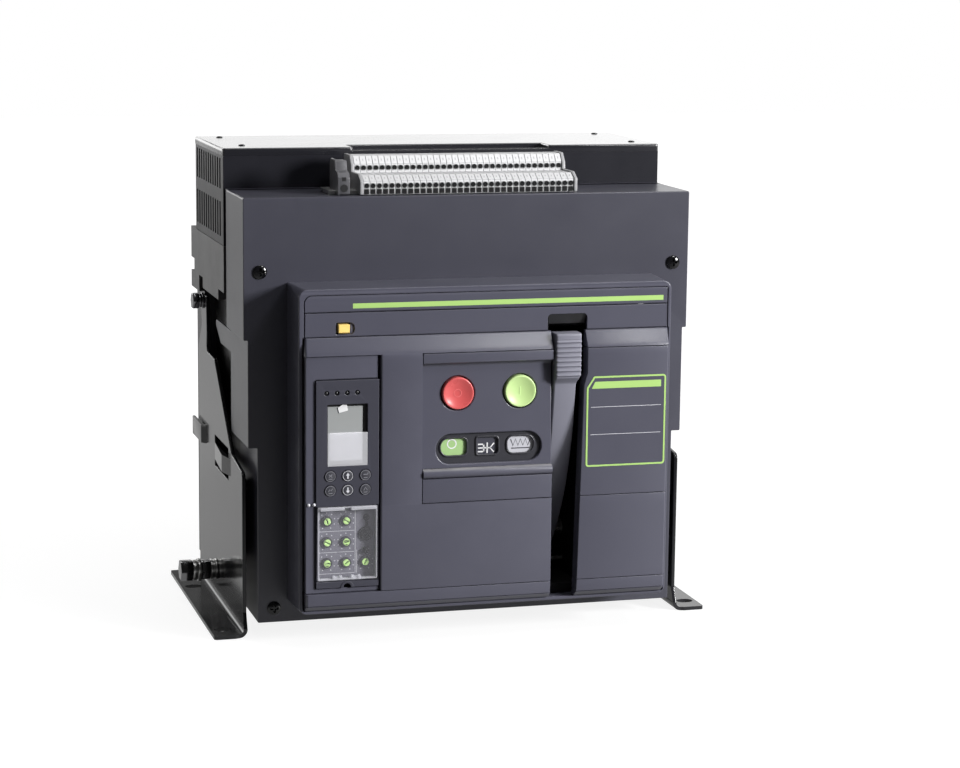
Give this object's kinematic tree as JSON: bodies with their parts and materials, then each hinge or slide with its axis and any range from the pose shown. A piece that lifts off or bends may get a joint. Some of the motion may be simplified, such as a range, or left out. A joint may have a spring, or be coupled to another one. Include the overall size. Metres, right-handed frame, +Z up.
{
  "type": "air circuit breaker",
  "caption": "Fixed-mounted low-voltage air circuit breaker with slotted side-plate feet, raised facia, trip unit, charging handle, push buttons, vented arc chambers and rear terminals.",
  "frame": {"origin": "on the plane that the feet stand on, under the middle of the overall width and depth", "axes": "+X to the right seen from the front, along the overall width; +Y to the back, towards the terminals; +Z up"},
  "size_m": [0.4234, 0.329, 0.3792],
  "materials": {
    "charcoal_plastic": "satin moulded thermoset, fine texture",
    "panel_plastic": "satin moulded plastic, fine texture",
    "black_plastic": "satin black moulding",
    "black_paint": "gloss black paint on folded steel",
    "zinc_steel": "zinc plated",
    "plated_copper": "tin-plated copper",
    "base_moulding": "matt thermoset moulding",
    "red_button": "satin red",
    "green_button": "satin light green",
    "yellow_button": "satin yellow",
    "lime_dial": "satin lime",
    "terminal_grey": "light grey polyamide",
    "display_glass": "grey liquid-crystal display behind a clear window",
    "clear_plastic": "clear moulded plastic",
    "white_flag": "white printed plate",
    "grip_grey": "grey moulded grip"
  },
  "bodies": {
    "breaker": {"left_side_plate": "black_paint", "right_side_plate": "black_paint", "earth_bolt_left": "zinc_steel", "earth_bolt_right": "zinc_steel", "front_base": "base_moulding", "rear_base": "base_moulding", "arc_chamber_housing": "charcoal_plastic", "arc_chamber_cover": "charcoal_plastic", "arc_chute_left": "zinc_steel", "arc_chute_centre": "zinc_steel", "arc_chute_right": "zinc_steel", "front_frame": "charcoal_plastic", "front_panel": "panel_plastic", "line_terminal_left": "plated_copper", "line_terminal_centre": "plated_copper", "line_terminal_right": "plated_copper", "load_terminal_left": "plated_copper", "load_terminal_centre": "plated_copper", "load_terminal_right": "plated_copper", "current_transformer_left": "black_plastic", "current_transformer_centre": "black_plastic", "current_transformer_right": "black_plastic", "mechanism_frame": "zinc_steel", "opening_coil": "black_plastic", "closing_coil": "black_plastic", "closing_spring": "zinc_steel", "trip_unit": "black_plastic", "display_window": "display_glass", "terminal_rail": "zinc_steel", "terminal_block": "terminal_grey", "terminal_end_stop": "black_plastic"},
    "charging_handle": {"charging_handle": "grip_grey"},
    "off_button": {"off_button": "red_button"},
    "on_button": {"on_button": "green_button"},
    "reset_button": {"reset_button": "yellow_button"},
    "contact_flag": {"contact_flag": "green_button"},
    "ready_flag": {"ready_flag": "white_flag"},
    "charge_flag": {"charge_flag": "white_flag"},
    "clear_cover": {"clear_cover": "clear_plastic"},
    "key_1": {"key_1": "black_plastic"},
    "key_2": {"key_2": "black_plastic"},
    "key_3": {"key_3": "black_plastic"},
    "key_4": {"key_4": "black_plastic"},
    "key_5": {"key_5": "black_plastic"},
    "key_6": {"key_6": "black_plastic"},
    "setting_dial_1": {"setting_dial_1": "lime_dial"},
    "setting_dial_2": {"setting_dial_2": "lime_dial"},
    "setting_dial_3": {"setting_dial_3": "lime_dial"},
    "setting_dial_4": {"setting_dial_4": "lime_dial"},
    "setting_dial_5": {"setting_dial_5": "lime_dial"},
    "setting_dial_6": {"setting_dial_6": "lime_dial"},
    "setting_dial_7": {"setting_dial_7": "lime_dial"},
    "test_button": {"test_button": "terminal_grey"},
    "pole_shaft": {"pole_shaft": "zinc_steel"},
    "moving_contact_left": {"moving_contact_left": "plated_copper"},
    "moving_contact_centre": {"moving_contact_centre": "plated_copper"},
    "moving_contact_right": {"moving_contact_right": "plated_copper"},
    "drive_link_left": {"drive_link_left": "black_plastic"},
    "drive_link_centre": {"drive_link_centre": "black_plastic"},
    "drive_link_right": {"drive_link_right": "black_plastic"}
  },
  "joints": [
    {"name": "handle_swing", "type": "hinge", "parent": "breaker", "child": "charging_handle", "pos_m": [0.0625, -0.0925, 0.075], "axis": [1, 0, 0], "range_deg": [0, 75], "stiffness_Nm_per_rad": 0.3, "springref_deg": -28.65},
    {"name": "off_push", "type": "slide", "parent": "breaker", "child": "off_button", "axis": [0, 1, 0], "range_m": [0, 0.005], "stiffness_N_per_m": 400},
    {"name": "on_push", "type": "slide", "parent": "breaker", "child": "on_button", "axis": [0, 1, 0], "range_m": [0, 0.005], "stiffness_N_per_m": 400},
    {"name": "reset_pop", "type": "slide", "parent": "breaker", "child": "reset_button", "axis": [0, -1, 0], "range_m": [0, 0.004]},
    {"name": "contact_flag_slide", "type": "slide", "parent": "breaker", "child": "contact_flag", "axis": [0, 0, -1], "range_m": [0, 0.0145]},
    {"name": "ready_flag_slide", "type": "slide", "parent": "breaker", "child": "ready_flag", "axis": [0, 0, -1], "range_m": [0, 0.014]},
    {"name": "charge_flag_slide", "type": "slide", "parent": "breaker", "child": "charge_flag", "axis": [0, 0, -1], "range_m": [0, 0.014]},
    {"name": "cover_hinge", "type": "hinge", "parent": "breaker", "child": "clear_cover", "pos_m": [-0.11085, -0.159, 0.059], "axis": [1, 0, 0], "range_deg": [0, 95]},
    {"name": "key_1_push", "type": "slide", "parent": "breaker", "child": "key_1", "axis": [0, 1, 0], "range_m": [0, 0.0008], "stiffness_N_per_m": 300},
    {"name": "key_2_push", "type": "slide", "parent": "breaker", "child": "key_2", "axis": [0, 1, 0], "range_m": [0, 0.0008], "stiffness_N_per_m": 300},
    {"name": "key_3_push", "type": "slide", "parent": "breaker", "child": "key_3", "axis": [0, 1, 0], "range_m": [0, 0.0008], "stiffness_N_per_m": 300},
    {"name": "key_4_push", "type": "slide", "parent": "breaker", "child": "key_4", "axis": [0, 1, 0], "range_m": [0, 0.0008], "stiffness_N_per_m": 300},
    {"name": "key_5_push", "type": "slide", "parent": "breaker", "child": "key_5", "axis": [0, 1, 0], "range_m": [0, 0.0008], "stiffness_N_per_m": 300},
    {"name": "key_6_push", "type": "slide", "parent": "breaker", "child": "key_6", "axis": [0, 1, 0], "range_m": [0, 0.0008], "stiffness_N_per_m": 300},
    {"name": "dial_1_turn", "type": "hinge", "parent": "breaker", "child": "setting_dial_1", "pos_m": [-0.1254, -0.1525, 0.1027], "axis": [0, -1, 0], "range_deg": [-135, 135]},
    {"name": "dial_2_turn", "type": "hinge", "parent": "breaker", "child": "setting_dial_2", "pos_m": [-0.1104, -0.1525, 0.1027], "axis": [0, -1, 0], "range_deg": [-135, 135]},
    {"name": "dial_3_turn", "type": "hinge", "parent": "breaker", "child": "setting_dial_3", "pos_m": [-0.1254, -0.1525, 0.0861], "axis": [0, -1, 0], "range_deg": [-135, 135]},
    {"name": "dial_4_turn", "type": "hinge", "parent": "breaker", "child": "setting_dial_4", "pos_m": [-0.1104, -0.1525, 0.0861], "axis": [0, -1, 0], "range_deg": [-135, 135]},
    {"name": "dial_5_turn", "type": "hinge", "parent": "breaker", "child": "setting_dial_5", "pos_m": [-0.1254, -0.1525, 0.0696], "axis": [0, -1, 0], "range_deg": [-135, 135]},
    {"name": "dial_6_turn", "type": "hinge", "parent": "breaker", "child": "setting_dial_6", "pos_m": [-0.1104, -0.1525, 0.0696], "axis": [0, -1, 0], "range_deg": [-135, 135]},
    {"name": "dial_7_turn", "type": "hinge", "parent": "breaker", "child": "setting_dial_7", "pos_m": [-0.0954, -0.1525, 0.0696], "axis": [0, -1, 0], "range_deg": [-135, 135]},
    {"name": "test_push", "type": "slide", "parent": "breaker", "child": "test_button", "axis": [0, 1, 0], "range_m": [0, 0.001], "stiffness_N_per_m": 300},
    {"name": "shaft_turn", "type": "hinge", "parent": "breaker", "child": "pole_shaft", "pos_m": [0, -0.0575, 0.155], "axis": [-1, 0, 0], "range_deg": [0, 50]},
    {"name": "contact_left_swing", "type": "hinge", "parent": "breaker", "child": "moving_contact_left", "pos_m": [-0.115, 0.0525, 0.135], "axis": [-1, 0, 0], "range_deg": [0, 25]},
    {"name": "contact_centre_swing", "type": "hinge", "parent": "breaker", "child": "moving_contact_centre", "pos_m": [0, 0.0525, 0.135], "axis": [-1, 0, 0], "range_deg": [0, 25]},
    {"name": "contact_right_swing", "type": "hinge", "parent": "breaker", "child": "moving_contact_right", "pos_m": [0.115, 0.0525, 0.135], "axis": [-1, 0, 0], "range_deg": [0, 25]},
    {"name": "link_left_swing", "type": "hinge", "parent": "pole_shaft", "child": "drive_link_left", "pos_m": [-0.115, -0.06807, 0.17766], "axis": [-1, 0, 0], "range_deg": [-50, 0]},
    {"name": "link_centre_swing", "type": "hinge", "parent": "pole_shaft", "child": "drive_link_centre", "pos_m": [0, -0.06807, 0.17766], "axis": [-1, 0, 0], "range_deg": [-50, 0]},
    {"name": "link_right_swing", "type": "hinge", "parent": "pole_shaft", "child": "drive_link_right", "pos_m": [0.115, -0.06807, 0.17766], "axis": [-1, 0, 0], "range_deg": [-50, 0]}
  ],
  "couplings": [
    {"joint": "contact_left_swing", "follows": "shaft_turn", "ratio": 0.5},
    {"joint": "contact_centre_swing", "follows": "shaft_turn", "ratio": 0.5},
    {"joint": "contact_right_swing", "follows": "shaft_turn", "ratio": 0.5},
    {"joint": "link_left_swing", "follows": "shaft_turn", "ratio": -1},
    {"joint": "link_centre_swing", "follows": "shaft_turn", "ratio": -1},
    {"joint": "link_right_swing", "follows": "shaft_turn", "ratio": -1},
    {"joint": "contact_flag_slide", "follows": "shaft_turn", "m_per_rad": 0.016}
  ]
}
